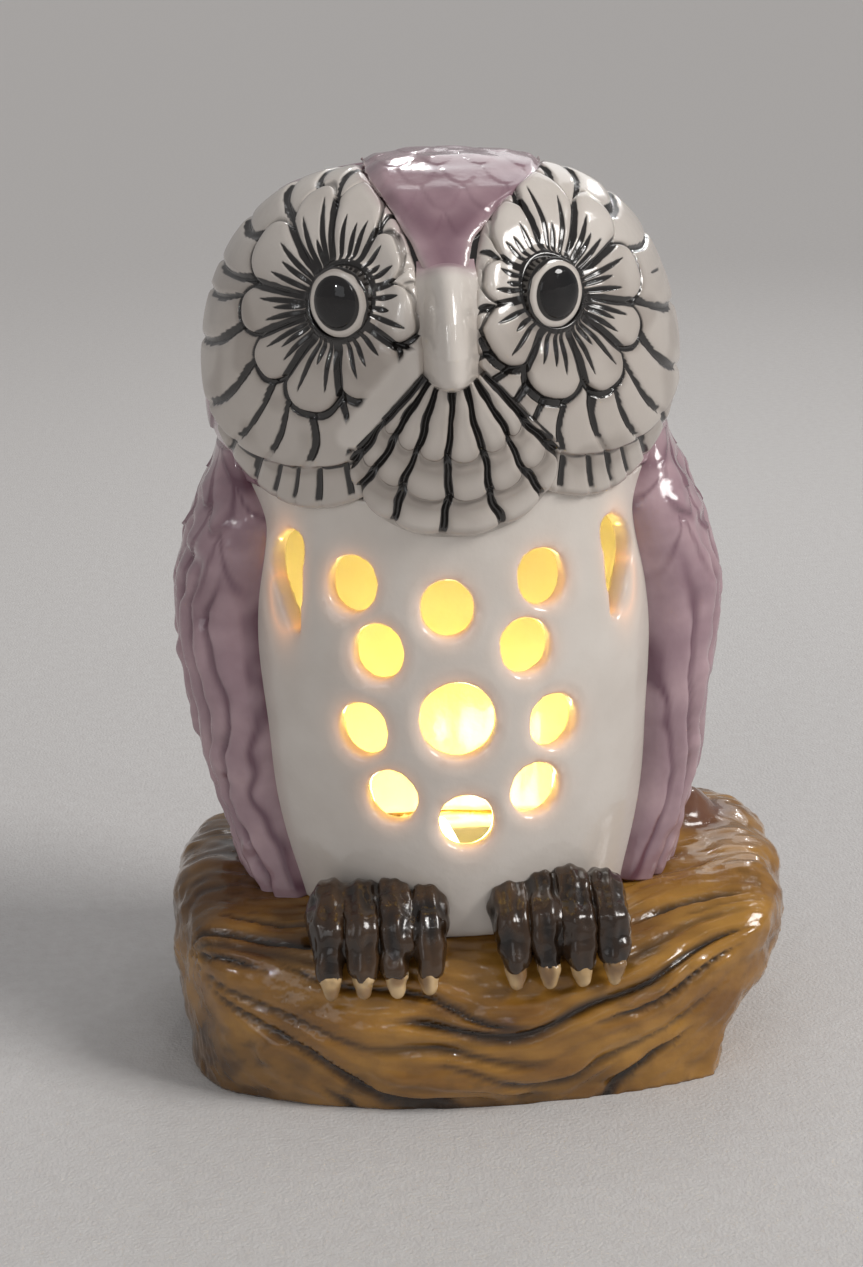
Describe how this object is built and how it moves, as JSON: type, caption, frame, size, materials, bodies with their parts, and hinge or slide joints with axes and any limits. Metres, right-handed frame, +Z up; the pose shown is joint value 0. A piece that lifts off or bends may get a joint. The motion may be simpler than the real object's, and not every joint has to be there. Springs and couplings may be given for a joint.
{
  "type": "owl figurine light",
  "caption": "Hollow glazed ceramic owl on a log, with pierced chest openings lit from inside by a battery tea light.",
  "frame": {"origin": "on the table plane, under the owl's upright axis", "axes": "+Z up, the owl faces -Y, +X to the viewer's right when the viewer faces the owl"},
  "size_m": [0.104, 0.0848, 0.15],
  "materials": {
    "white_glaze": "glossy",
    "mauve_glaze": "glossy",
    "black_glaze": "glossy",
    "dark_glaze": "glossy",
    "claw_glaze": "glossy",
    "brown_glaze": "glossy",
    "white_plastic": "satin",
    "warm_diffuser": "translucent",
    "lamp_lens": "clear",
    "spring_metal": "brushed",
    "cell_steel": "brushed",
    "black_plastic": "satin"
  },
  "bodies": {
    "tealight": {"tealight_cup": "white_plastic", "flame_diffuser": "warm_diffuser", "led_lamp": "lamp_lens", "led_leads": "spring_metal", "positive_contact": "spring_metal", "negative_contact": "spring_metal", "coin_cell": "cell_steel", "cell_deck": "white_plastic", "tealight_base": "white_plastic"},
    "door": {"battery_door": "white_plastic"},
    "switch": {"switch_slider": "black_plastic"},
    "owl": {"body_shell": "white_glaze", "head_shell": "mauve_glaze", "brow_ridge": "mauve_glaze", "left_face_disc": "white_glaze", "right_face_disc": "white_glaze", "left_eyeball": "white_glaze", "right_eyeball": "white_glaze", "left_pupil": "black_glaze", "right_pupil": "black_glaze", "beak": "white_glaze", "chin_bib": "white_glaze", "left_wing": "mauve_glaze", "right_wing": "mauve_glaze", "tail": "mauve_glaze", "left_foot": "dark_glaze", "right_foot": "dark_glaze", "left_claws": "claw_glaze", "right_claws": "claw_glaze", "perch_log": "brown_glaze"}
  },
  "joints": [
    {"name": "owl_lift", "type": "slide", "parent": "tealight", "child": "owl", "axis": [0, 0, 1], "range_m": [0, 0.06]},
    {"name": "switch_slide", "type": "slide", "parent": "tealight", "child": "switch", "axis": [0, 1, 0], "range_m": [0, 0.0024]},
    {"name": "battery_door_turn", "type": "hinge", "parent": "tealight", "child": "door", "pos_m": [-0.003, 0, 0.001], "axis": [0, 0, 1], "range_deg": [0, 45]}
  ]
}
